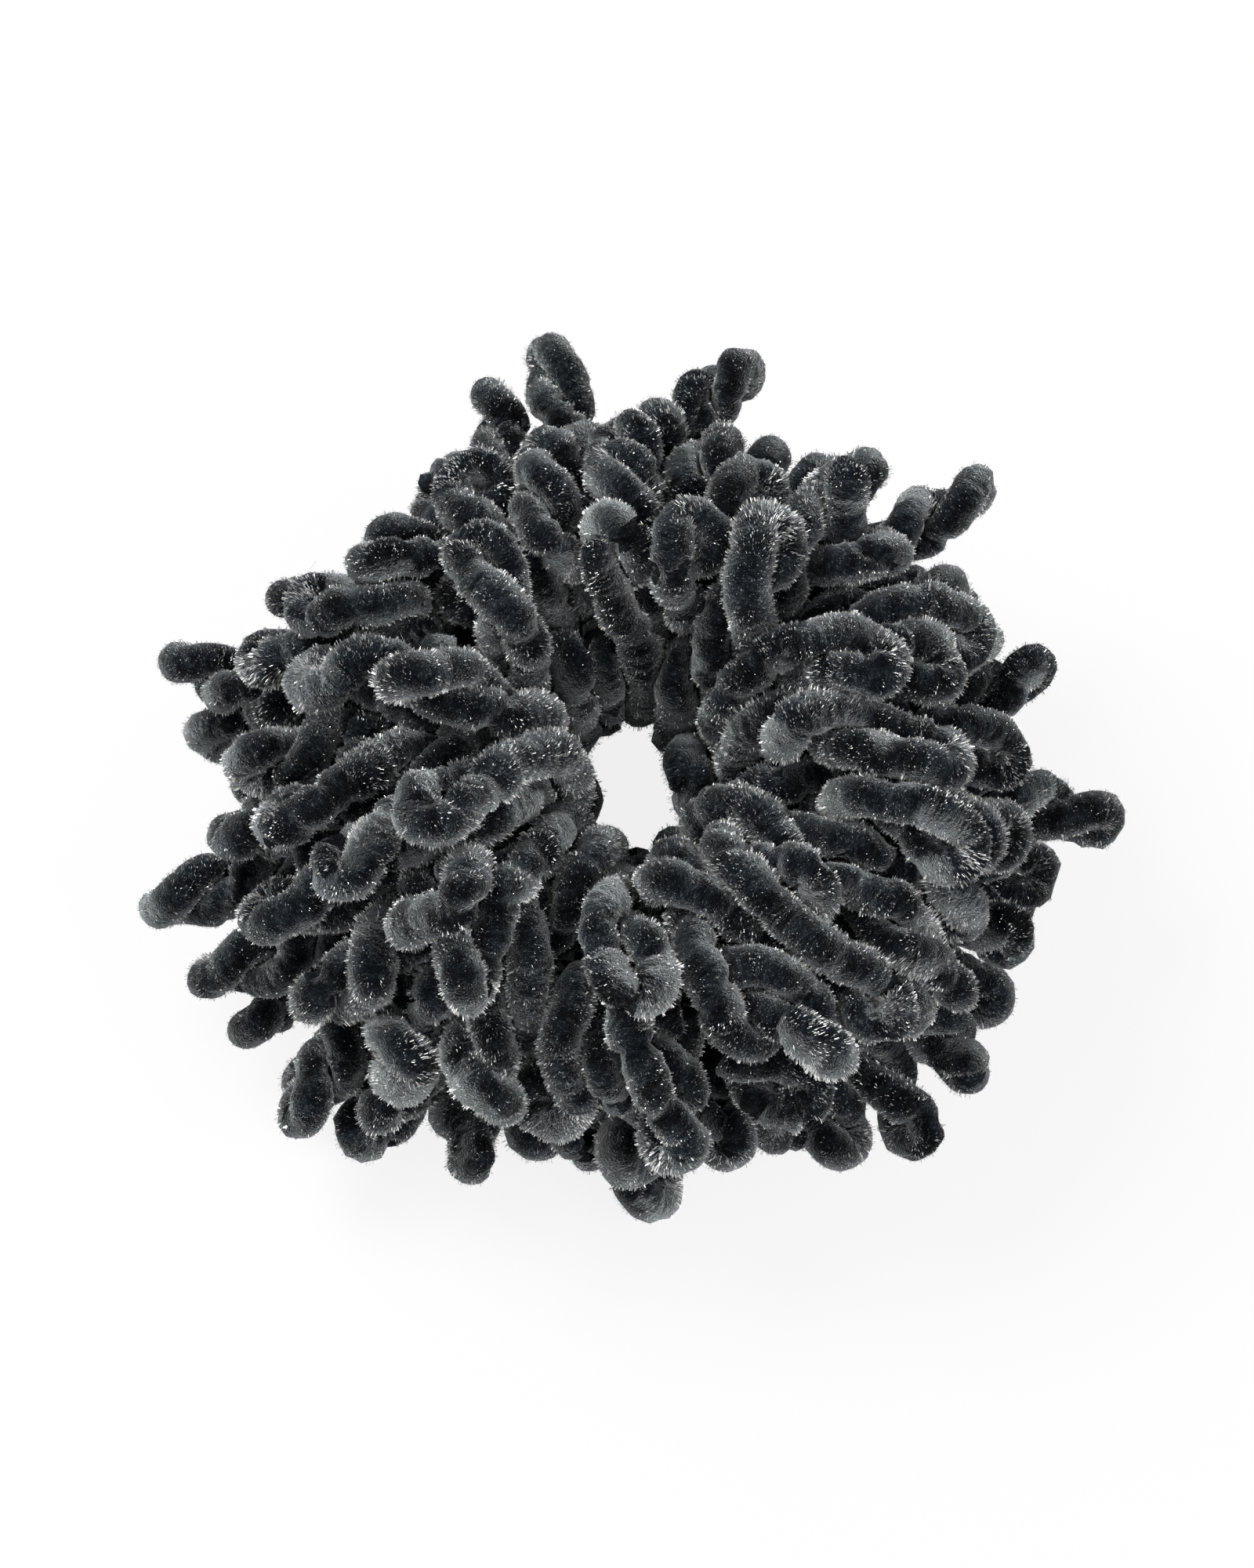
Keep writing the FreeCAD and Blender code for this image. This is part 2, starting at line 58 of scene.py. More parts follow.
# --- strands: their lines and how far the pile reaches ----------------------------------
YARN = 0.0021             # radius of a strand's CAD solid
CELL = 5e-5               # vertices moved in by YARN that are this close together make one point of the line
SHARED_BY = 8             # the fewest vertices that make such a point
NEXT_POINT = (3e-4, 4e-3) # the next point of a line is at least, and at most, this far away
FEWEST_POINTS = 20        # a line with fewer points isn't a strand
STATION = 0.0011          # spacing of the cross-sections of a strand
AROUND = 14               # corners of a cross-section
STITCH_POINTS = 37        # cross-sections of a stitch
WRAP = math.radians(60)   # how far a strand runs on round the elastic past its root
WRAP_SINK = 0.45          # share of its distance from the elastic's line that it loses on the way
WRAP_PART = (0.2, 1, 7)   # first and last share of the way, and number of points
KINK = 0.00020            # how far a strand strays to the sides of its CAD solid's line
KINK_WAVES = (((0.55, 0.8), 0.7), ((0.95, 1.3), 0.45))    # radians per millimetre, and share of KINK
KINK_FADE = 8             # millimetres at each end over which the bends fade out
PILE = 0.0037             # centre line to the tips of the pile, where nothing presses on it
OUTER_PILE = 0.0035       # the same at the far tips of the loops, where it is worn thinner
FULL_WITHIN = 0.045       # distance from the ring's axis up to which the pile is full
WORN_BEYOND = 0.066       # and beyond which it is as thin as OUTER_PILE
FULLNESS = (0.94, 1.06)   # one strand's pile against another's
INNER_FULLNESS = 1.28     # extra pile on the loops round the hole
BODY_SHARE = 0.88         # the pile's dense body, as a share of the way to its tips
LEAST_PILE = 0.0017       # pile pressed between two strands
BEND_ROOM = 0.92          # of the way to the centre of a bend, free for the pile inside it
NEIGHBOURS = 2.2 * PILE   # strands farther off than this don't press on the pile
OWN_STRETCH = 0.0085      # a strand doesn't press on itself within this length
PRESS = 1.03              # pressed piles reach this share of the way to the middle between two strands
END_TAPER = 0.0015        # length over which the dense body widens from its ends
END_SIZE = 0.35           # its size at the very end

# --- stretches between two partings of the pile ------------------------------------------
LOBE = (0.0025, 0.009)    # least and most length of a stretch
PARTING = 0.0008          # half the width of a parting
PARTING_DEPTH = (0.05, 0.6)  # share of the pile's height, before DEPTH_POWER
DEPTH_POWER = 1.5         # leaves most partings shallow
SWELL = (-0.08, 0.06)     # how far a stretch stands up, as a share of its height
SLANT = 0.0011            # how far the two sides of a strand part at different places
BRUSHED = 0.22            # share of the stretches whose fibres lie over
UNBRUSHED_LIE = 0.35      # how far the others do, as a share of that
LIE = 0.45                # tangent of how far brushed fibres lie over
FAN = (-0.1, 0.45)        # how far fibres fan out to the two ends of a stretch
LOBE_PAINTED_SHEEN = 0.12         # painted sheen of brushed pile: difference in shade from one stretch to the next
COMBED = 0.34             # share of the stretches that are combed over
UNCOMBED_NAP = 0.3        # how far the pile tips in the others, as a share
NAP_PULL = 0.9            # how far the lie of the pile tips in a combed stretch
NAP_MOST = 1.1
BODY_NAP = 0.55           # share of that on the dense body below the fibres

# --- fibres --------------------------------------------------------------------------
KINDS = {                 # fibres per millimetre of strand
    "crown": 128, "upper": 128, "outer": 98, "lower": 92, "under": 48, "inner": 76}
STITCH_FIBRES = 40
FIBRE_WIDTH = 0.00011
TUFTED = 0.35             # share of the fibres that widen to their tips
ROOT_SINK = 0.0005        # depth below the dense body's surface at which fibres start
TIP_REACH = (0.95, 1.01)  # share of the pile's reach
TIP_ROWS = 0.03           # how much more it is on the crest of a row
TIP_DIP = 0.5             # share of a parting's dip that the fibres take on top of the pile's
LEAST_RISE = 0.6          # the least rise of a fibre's direction that its length makes up for
OPENING = 0.0022          # how far the pile opens outwards at a bend, over the bend's radius
RIDGE = 0.0015            # along the strand, from one row of fibres to the next
RIDGE_PULL = 0.3          # how far fibres gather into the rows, as a share of their spacing
ROW_SWAY = 0.35           # turns of a row's phase by which it sways round a strand
ROW_DRIFT = 0.55          # and by which it drifts slowly along it
ROW_CLEAR = (0.55, 0.45)  # how clear the rows are, and how much that changes over a strand
ROW_TILT = 0.3            # how far the lie tips to the two sides of a row of fibres
CLUMP = 0.0003            # width of the small clumps in which fibres share their lie and shade
CLUMP_LEAN = 0.10
CLUMP_TILT = 0.38         # the same for the fibres' shading only
CLUMP_SHADE = 0.17
SLOW_LIE = 0.12           # how far the lie changes slowly over a strand
FIBRE_LIE = 0.08          # how far it strays from fibre to fibre
NAP_SPREAD = 0.25         # how far a fibre's shading strays from the lie of the pile
FREE_PILE = (0.55, 0.8)   # shares of the full pile at which a side has FEWEST_FIBRES, and all of them
FEWEST_FIBRES = 0.12
PRESSED_AND_SHADED = 0.62            # share of the fibres below which a side is pressed and gets painted shade: copies of its materials with almost no sheen
END_MARGIN = 0.3          # in stations, the bare very end of a strand

# Along the fibres' colours, from 0 the darkest to 1 the palest: partly random tone, partly painted sheen and
# light.
MIDDLE_SHADE = 0.45
SLOW_SHADE = 0.14         # how far it changes slowly over a strand
BEND_PAINTED_SHEEN = 0.10         # painted sheen: how much paler a bend is, where the pile opens out
ROW_PAINTED_LIGHT = 0.13          # painted light: how much paler the crest of a row is, with painted shade in the grooves between
FIBRE_SHADE = 0.1         # how far it strays from fibre to fibre
SHADES = (0.02, 0.98)
HAIR_SHADE = 0.72
SPECK_SHADE = 0.95

# Slow changes over a strand: radians per millimetre along it, waves round it, weight.
LUMPS = ((0.55, 1, 0.035), (1.3, 2, 0.03), (2.9, -1, 0.02))
ROW_WANDER = ((0.45, 1, 0.7), (1.1, 2, 0.35))
ROW_CLEARNESS = ((0.3, 1, 0.7), (0.8, -1, 0.4))
LEAN_CHANGE = ((0.30, 1, 0.6), (0.75, -2, 0.4))
SWIRL_CHANGE = ((0.38, 1, 0.6), (0.9, 1, 0.4))
SHADE_CHANGE = ((0.21, 1, 0.7), (0.62, 2, 0.5))

# --- loose hairs and specks of lint, fewer than these where strands are pressed ----------
HAIRS_PER_METRE = 9
HAIR_LENGTH = (0.002, 0.006)
HAIR_WIDTH = 0.00006
HAIR_STEPS = 7
HAIR_CURL = 0.35
HAIR_RISE = (0.6, 0.05)   # how far a hair turns away from the strand, at its start and at each step
SPECKS_PER_METRE = 9
SPECK = (0.00015, 0.00045)
SPECK_WIDTH = (0.3, 0.8)  # share of its length
SPECK_STEPS = np.array((-1.0, -0.2, 1.0))[:, None]    # its cross-sections, in halves of its length

# --- maps: the height of the OFBake map is shared by the fibres, below, and the strands ----
FIBRE_BAND = 0.12         # share of the map's height that holds the fibres
ROOT_V, TIP_V = 0.01, FIBRE_BAND * 0.85
MAP_GAP = 0.01            # left free below and above each strand

# Slots of the yarn's materials; the last two are painted shade for pressed sides.
BODY, FIBRE, PAINTED_SHADE_BODY, PAINTED_SHADE_FIBRE = range(4)

rng = np.random.default_rng(20260)

core_lo, core_hi = (np.array(c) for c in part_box("elastic_core"))
cover_lo, cover_hi = (np.array(c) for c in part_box("elastic_cover"))
AXIS = (core_lo + core_hi) / 2
CORE_RADIUS = (core_hi[2] - core_lo[2]) / 2
COVER_RADIUS = (cover_hi[2] - cover_lo[2]) / 2
RING_RADIUS = (core_hi[0] - core_lo[0]) / 2 - CORE_RADIUS


# --- strands from the frame -----------------------------------------------------------
def unit(v):
    return v / np.maximum(np.linalg.norm(v, axis=-1, keepdims=True), 1e-12)


def outward(azimuth):
    return np.array((math.cos(azimuth), math.sin(azimuth), 0))


def inner_points(node):
    """Points on the centre lines of a node's round strands: each vertex moved in by the radius."""
    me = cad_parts[node].data
    co = np.empty(len(me.vertices) * 3, np.float32)
    me.vertices.foreach_get("co", co)
    normals = np.empty(len(me.loops) * 3, np.float32)
    me.corner_normals.foreach_get("vector", normals)
    corners = np.empty(len(me.loops), np.int32)
    me.loops.foreach_get("vertex_index", corners)
    normal = np.zeros((len(me.vertices), 3))
    np.add.at(normal, corners, normals.reshape(-1, 3))
    inner = co.reshape(-1, 3) - unit(normal) * YARN
    cells, where, count = np.unique(
        np.round(inner / CELL).astype(np.int64), axis=0, return_inverse=True, return_counts=True)
    middle = np.zeros((len(cells), 3))
    np.add.at(middle, where.ravel(), inner)
    return (middle / count[:, None])[count >= SHARED_BY]


def root_distance(points):
    across = np.hypot(points[:, 0] - AXIS[0], points[:, 1] - AXIS[1]) - RING_RADIUS
    return np.hypot(across, points[:, 2] - AXIS[2])


def lines_of(node):
    """Each strand of a loop node as points STATION apart, from root to root."""
    left = inner_points(node)
    least, most = NEXT_POINT
    lines = []
    while len(left):
        at = left[np.argmin(root_distance(left))]
        line = [at]
        while len(left):
            far = np.linalg.norm(left - at, axis=1)
            left = left[far > least]
            far = far[far > least]
            if not len(left) or far.min() > most:
                break
            at = left[np.argmin(far)]
            line.append(at)
        if len(line) > FEWEST_POINTS:
            line = np.concatenate([wrap(line[0], line[3])[::-1], line, wrap(line[-1], line[-4])])
            lines.append(kinked(spaced(line, STATION)))
    return lines


def kinked(line):
    """The line with small, irregular bends, fading out at its ends."""
    run = np.arange(len(line)) * STATION * 1000
    fade = np.clip(np.minimum(run, run[-1] - run) / KINK_FADE, 0, 1)
    _, side, up = cross_axes(line)
    for axis in (side, up):
        turns = [rng.uniform(*span) for span, _ in KINK_WAVES]
        shift = sum(share * np.sin(turn * run + rng.uniform(0, FULL_TURN))
                    for turn, (_, share) in zip(turns, KINK_WAVES))
        line = line + axis * (KINK * shift * fade)[:, None]
    return line


def wrap(root, ahead):
    """Points from a root round the elastic, away from the side that the strand leaves on."""
    out = unit(np.array((root[0] - AXIS[0], root[1] - AXIS[1], 0)))
    centre = AXIS + out * RING_RADIUS
    arm = root - centre
    start = math.atan2(arm[2], arm @ out)
    turned = out * -math.sin(start) + UP * math.cos(start)
    sense = -1 if (ahead - root) @ turned > 0 else 1
    part = np.linspace(*WRAP_PART)[:, None]
    a = start + sense * part * WRAP
    far = np.linalg.norm(arm) * (1 - WRAP_SINK * part)
    return centre + far * (out * np.cos(a) + UP * np.sin(a))


def spaced(line, step):
    """The line as even steps, a little smoothed."""
    run = np.r_[0, np.cumsum(np.linalg.norm(np.diff(line, axis=0), axis=1))]
    count = max(8, int(round(run[-1] / step)))
    at = np.linspace(0, run[-1], count + 1)
    even = np.stack([np.interp(at, run, line[:, k]) for k in range(3)], 1)
    for _ in range(3):
        even[1:-1] = even[1:-1] / 2 + (even[:-2] + even[2:]) / 4
    return even


def tangents(line, closed):
    if closed:
        return unit(np.roll(line, -1, 0) - np.roll(line, 1, 0))
    return unit(np.gradient(line, axis=0))


def cross_axes(line, closed=False):
    """The line's direction and two axes across it at each point, carried along without twist."""
    ahead = tangents(line, closed)
    side = np.cross(ahead[0], UP)
    if np.linalg.norm(side) < 0.1:
        side = np.cross(ahead[0], (1.0, 0, 0))
    sides = [unit(side)]
    for t in ahead[1:]:
        sides.append(unit(sides[-1] - t * np.dot(sides[-1], t)))
    sides = np.array(sides)
    return ahead, sides, np.cross(ahead, sides)


class Strand:
    """One run of yarn: its line, cross axes, and how far its pile reaches all round."""

    def __init__(self, line, closed=False):
        self.line = line
        self.closed = closed
        self.ahead, self.side, self.up = cross_axes(line, closed)
        self.run = np.r_[0, np.cumsum(np.linalg.norm(np.diff(line, axis=0), axis=1))]
        self.seed = rng.uniform(0, 100, 3)
        self.fullness = rng.uniform(*FULLNESS)
        count = int(self.run[-1] / LOBE[0]) + 3
        self.partings = rng.uniform(-LOBE[1], 0) + np.cumsum(rng.uniform(*LOBE, count))
        self.partings = np.r_[-2 * LOBE[1], self.partings]
        count = len(self.partings)
        self.depths = rng.uniform(*PARTING_DEPTH, count) ** DEPTH_POWER
        self.swells = rng.uniform(*SWELL, count)
        self.slants = rng.normal(0, SLANT, (count, 2))
        brushed = np.where(rng.random(count) < BRUSHED, 1.0, UNBRUSHED_LIE)
        self.fans = rng.uniform(*FAN, count)
        self.leans = brushed * rng.normal(0, LIE, count)
        self.swirls = brushed * rng.normal(0, LIE, count)
        # Each stretch a little paler or darker: painted sheen of brushed pile.
        self.brushed_sheen = rng.normal(0, LOBE_PAINTED_SHEEN, count)
        clumps = int(self.run[-1] / CLUMP) + 1, int(2 * math.pi * PILE / CLUMP) + 1
        self.chances = rng.normal(0, 1, (*clumps, 3))
        combed = np.where(rng.random(count) < COMBED, 1.0, UNCOMBED_NAP)
        self.naps = combed[:, None] * np.clip(rng.normal(0, NAP_PULL, (count, 2)), -NAP_MOST, NAP_MOST)

    def parting(self, number, way):
        """Where a parting crosses the strand's side in the direction way."""
        return self.partings[number] + (self.slants[number] * way).sum(-1)

    def lobes(self, at, angle):
        """Number of the stretch there, place in it from 0 to 1, and where it starts and ends."""
        at, angle = np.broadcast_arrays(at, angle)
        last = len(self.partings) - 2
        k = np.clip(np.searchsorted(self.partings, at) - 1, 0, last)
        way = np.stack([np.cos(angle), np.sin(angle)], -1)
        for _ in range(2):
            start, end = self.parting(k, way), self.parting(k + 1, way)
            k = np.clip(k + (at >= end).astype(int) - (at < start).astype(int), 0, last)
        start, end = self.parting(k, way), self.parting(k + 1, way)
        return k, np.clip((at - start) / (end - start), 0, 1), start, end

    def dips(self, at, angle):
        """Share of the pile's height that is missing, most of it at a parting."""
        k, _, start, end = self.lobes(at, angle)
        near = self.depths[k] * np.exp(-((at - start) / PARTING) ** 2)
        return np.maximum(near, self.depths[k + 1] * np.exp(-((end - at) / PARTING) ** 2)) - self.swells[k]

    def ridges(self, at, angle):
        """Phase of the rows of fibres, in turns, and how clear the rows are there."""
        slow = waves(self.seed + 21, at * 1000, angle, ROW_WANDER)
        phase = at / RIDGE + ROW_SWAY * np.sin(angle + self.seed[0]) + ROW_DRIFT * slow
        clear = waves(self.seed + 33, at * 1000, angle, ROW_CLEARNESS)
        return phase, np.clip(ROW_CLEAR[0] + ROW_CLEAR[1] * clear, 0.1, 1)

    def clumps(self, at, angle):
        """Three normal random numbers, the same for all the fibres of a clump."""
        i = (at / CLUMP).astype(int) % self.chances.shape[0]
        j = (angle * PILE / CLUMP).astype(int) % self.chances.shape[1]
        return self.chances[i, j]

    def directions(self, angles):
        """Unit vectors across the strand, one row of angles for each point."""
        c, s = np.cos(angles)[..., None], np.sin(angles)[..., None]
        return self.side[:, None] * c + self.up[:, None] * s


def waves(seed, x, y, scales):
    """A smooth, repeatable roll of values near -1 to 1 over two coordinates."""
    total = np.zeros(np.broadcast(x, y).shape)
    for k, (fx, fy, weight) in enumerate(scales):
        total += weight * np.sin(fx * x + fy * y + seed[0] * (k + 1) + seed[1]
                                 + 1.3 * np.sin(0.7 * fx * x + seed[2] * (k + 2)))
    return total


def bend_of(strand):
    """Curvature vectors of the line, towards the centre of each bend."""
    if strand.closed:
        change = np.roll(strand.ahead, -1, 0) - np.roll(strand.ahead, 1, 0)
    else:
        change = np.gradient(strand.ahead, axis=0) * 2
    return change / (2 * strand.run[-1] / (len(strand.line) - 1))


def reach_of(strand, number, all_points, owners, runs):
    """How far the pile reaches from the line in AROUND directions at each station."""
    angles = np.linspace(0, 2 * math.pi, AROUND, endpoint=False)
    way = strand.directions(np.broadcast_to(angles, (len(strand.line), AROUND)))
    lumps = waves(strand.seed, strand.run[:, None] * 1000, angles[None], LUMPS)
    off_axis = np.hypot(strand.line[:, 0] - AXIS[0], strand.line[:, 1] - AXIS[1])
    worn = np.clip((off_axis - FULL_WITHIN) / (WORN_BEYOND - FULL_WITHIN), 0, 1)[:, None]
    pile = strand.fullness * (PILE + (OUTER_PILE - PILE) * worn)
    reach = pile * (1 + lumps - strand.dips(strand.run[:, None], angles[None]))
    # The pile of two strands meets half way between them.
    for i, at in enumerate(strand.line):
        off = all_points - at
        square = np.einsum("ij,ij->i", off, off)
        own = owners == number
        if not strand.closed:
            own = own & (np.abs(runs - strand.run[i]) < OWN_STRETCH)
        picked = np.flatnonzero((square < NEIGHBOURS * NEIGHBOURS) & ~own)
        if len(picked):
            dots = way[i] @ off[picked].T
            limit = np.where(dots > 1e-6, square[picked] / (2 * np.maximum(dots, 1e-6)), 1.0)
            reach[i] = np.minimum(reach[i], limit.min(1) * PRESS)
    # Inside a bend it stays clear of the bend's centre, and below it stays above the floor.
    strand.bend = bend_of(strand)
    turning = np.einsum("iak,ik->ia", way, strand.bend)
    reach = np.minimum(reach, BEND_ROOM / np.maximum(turning, 1e-6))
    down = -way[..., 2]
    floor = np.where(down > 0.05, strand.line[:, 2:3] / np.maximum(down, 0.05), 1.0)
    reach = np.minimum(np.maximum(reach, LEAST_PILE), floor)
    least, full = FREE_PILE
    strand.free = np.clip((reach / pile - least) / (full - least), FEWEST_FIBRES, 1)
    return reach


nodes = {}                # each yarn node and the body that it rides on
for k in range(1, SEGMENTS + 1):
    nodes[f"segment_{k}_stitches"] = f"segment_{k}"
    for kind in KINDS:
        nodes[f"segment_{k}_{kind}_loops"] = f"segment_{k}"

strands = {}
for name in nodes:
    if name.endswith("_loops"):
        strands[name] = [Strand(line) for line in lines_of(name)]
        for strand in strands[name]:
            strand.fullness *= INNER_FULLNESS if "inner" in name else 1
stitch_lo, stitch_hi = (np.array(c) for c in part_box("segment_1_stitches"))
stitch_radius = (stitch_hi[2] - stitch_lo[2]) / 2 - YARN
round_stitch = np.linspace(0, 2 * math.pi, STITCH_POINTS, endpoint=False)[:, None]
for k in range(1, SEGMENTS + 1):
    rings = []
    for half in (-0.5, 0.5):
        out = outward(FIRST_CENTRE + TURN * (k - 1) + half * TURN / 2)
        ring = AXIS + out * RING_RADIUS + stitch_radius * (
            out * np.cos(round_stitch) + UP * np.sin(round_stitch))
        rings.append(Strand(ring, closed=True))
    strands[f"segment_{k}_stitches"] = rings

every = [s for found in strands.values() for s in found]
all_points = np.concatenate([s.line for s in every])
owners = np.concatenate([np.full(len(s.line), i) for i, s in enumerate(every)])
runs = np.concatenate([s.run for s in every])
for i, s in enumerate(every):
    s.reach = reach_of(s, i, all_points, owners, runs)


# --- meshes --------------------------------------------------------------------------
class Mesh:
    """Vertices, their shading normals, faces, and per-corner maps collected into one object."""

    def __init__(self):
        self.points = []
        self.normals = []
        self.faces = []
        self.maps = []
        self.yarn_maps = []
        self.slots = []
        self.count = 0

    def add(self, points, normals, faces, maps, yarn_maps, slot):
        self.points.append(points)
        self.normals.append(normals)
        self.faces.append(faces + self.count)
        self.maps.append(maps)
        self.yarn_maps.append(yarn_maps)
        self.slots.append(np.broadcast_to(slot, len(faces)))
        self.count += len(points)

    def build(self, name, materials):
        me = bpy.data.meshes.new(name)
        co = np.concatenate(self.points)
        me.vertices.add(len(co))
        me.vertices.foreach_set("co", co.astype(np.float32).ravel())
        sizes = np.concatenate([np.full(len(f), f.shape[1]) for f in self.faces])
        corners = np.concatenate([f.ravel() for f in self.faces])
        me.loops.add(len(corners))
        me.loops.foreach_set("vertex_index", corners.astype(np.int32))
        me.polygons.add(len(sizes))
        starts = np.r_[0, np.cumsum(sizes)[:-1]]
        me.polygons.foreach_set("loop_start", starts.astype(np.int32))
        for m in materials:
            me.materials.append(m)
        me.polygons.foreach_set("material_index", np.concatenate(self.slots).astype(np.int32))
        for title, parts in (("OFBake", self.maps), ("Yarn", self.yarn_maps)):
            uv = me.uv_layers.new(name=title, do_init=False)
            uv.uv.foreach_set("vector", np.concatenate(
                [m.reshape(-1, 2) for m in parts]).astype(np.float32).ravel())
        me.update()
        me.validate()
        me.polygons.foreach_set("use_smooth", np.ones(len(sizes), bool))
        shading = me.attributes.new("custom_normal", "FLOAT_VECTOR", "POINT")
        shading.data.foreach_set("vector", np.concatenate(self.normals).astype(np.float32).ravel())
        obj = bpy.data.objects.new(name, me)
        bpy.context.collection.objects.link(obj)
        return obj


def grid(*corners, shape):
    """One value for each corner of each face of a grid of faces."""
    return np.stack([np.broadcast_to(x, shape) for x in corners], -1)


def surface_normals(points, out, closed):
    """Unit normals of a tube's grid of points, on the side of the vectors out."""
    if closed:
        along = np.roll(points, -1, 0) - np.roll(points, 1, 0)
    else:
        along = np.gradient(points, axis=0)
    normals = unit(np.cross(along, np.roll(points, -1, 1) - np.roll(points, 1, 1)))
    return normals * np.sign((normals * out).sum(-1, keepdims=True))


def body_mesh(mesh, strand, v0, v1):
    """The dense pile: a tube whose corners lie at a share of the way to the tips."""
    n = len(strand.line)
    angles = np.linspace(0, 2 * math.pi, AROUND, endpoint=False)
    way = strand.directions(np.broadcast_to(angles, (n, AROUND)))
    radius = strand.reach * BODY_SHARE
    if not strand.closed:
        taper = np.minimum(1, np.minimum(strand.run, strand.run[-1] - strand.run) / END_TAPER)
        radius = radius * (END_SIZE + (1 - END_SIZE) * np.sqrt(taper))[:, None]
    points = strand.line[:, None] + way * radius[..., None]
    normals = surface_normals(points, way, strand.closed)
    nap = BODY_NAP * strand.naps[strand.lobes(strand.run[:, None], angles[None])[0]]
    normals = unit(normals + strand.ahead[:, None] * nap[..., :1]
                   + np.cross(strand.ahead[:, None], way) * nap[..., 1:])
    rows = n if strand.closed else n - 1
    shape = rows, AROUND
    i = np.arange(rows)[:, None]
    j = np.arange(AROUND)[None]
    i2, j2 = (i + 1) % n, (j + 1) % AROUND
    faces = np.stack([i * AROUND + j, i * AROUND + j2, i2 * AROUND + j2, i2 * AROUND + j], -1)
    u = grid(i / rows, i / rows, (i + 1) / rows, (i + 1) / rows, shape=shape)
    v = grid(j, j + 1, j + 1, j, shape=shape) / AROUND
    maps = np.stack([u, v0 + (v1 - v0) * v], -1)
    length = strand.run[-1] * n / (n - 1) if strand.closed else strand.run[-1]
    yarn = np.stack([1000 * (length * u + strand.seed[0]), v], -1)
    free = strand.free
    # Faces on pressed sides get painted shade: a copy of the material with almost no sheen.
    in_painted_shade = free[i, j] + free[i2, j] + free[i, j2] + free[i2, j2] < 4 * PRESSED_AND_SHADED
    slots = np.where(in_painted_shade, PAINTED_SHADE_BODY, BODY).ravel()
    mesh.add(points.reshape(-1, 3), normals.reshape(-1, 3), faces.reshape(-1, 4), maps, yarn, slots)
    if strand.closed:
        return
    local = 1 + np.arange(AROUND)
    following = 1 + (np.arange(AROUND) + 1) % AROUND
    for end, row in ((0, 0), (1, n - 1)):
        cap = np.concatenate([strand.line[row][None], points[row]])
        facing = np.concatenate([strand.ahead[row][None] * (2 * end - 1), normals[row]])
        sides = [local, following] if end == 1 else [following, local]
        faces = np.stack([np.zeros(AROUND, int)] + sides, 1)
        maps = np.full((AROUND, 3, 2), 0.0)
        maps[..., 0] = end * 0.999
        maps[..., 1] = v0 + (v1 - v0) * 0.5
        mesh.add(cap, facing, faces, maps, maps, BODY)


def fibre_places(strand, per_mm):
    """Where fibres start, in stations along the strand and radians round it, gathered into rows."""
    count = int(strand.run[-1] * 1000 * per_mm)
    n = len(strand.line)
    last = n if strand.closed else n - 1
    step = strand.run[-1] / (n - 1)
    at = rng.uniform(END_MARGIN, last - END_MARGIN, count)
    angle = rng.uniform(0, 2 * math.pi, count)
    free = strand.free[at.astype(int), (angle / (2 * math.pi) * AROUND).astype(int) % AROUND]
    kept = rng.random(count) < free
    at, angle = at[kept], angle[kept]
    phase, clear = strand.ridges(at * step, angle)
    at = at - clear * RIDGE_PULL * RIDGE / step * np.sin(2 * math.pi * phase) / 2
    return np.clip(at, END_MARGIN, last - END_MARGIN), angle, clear


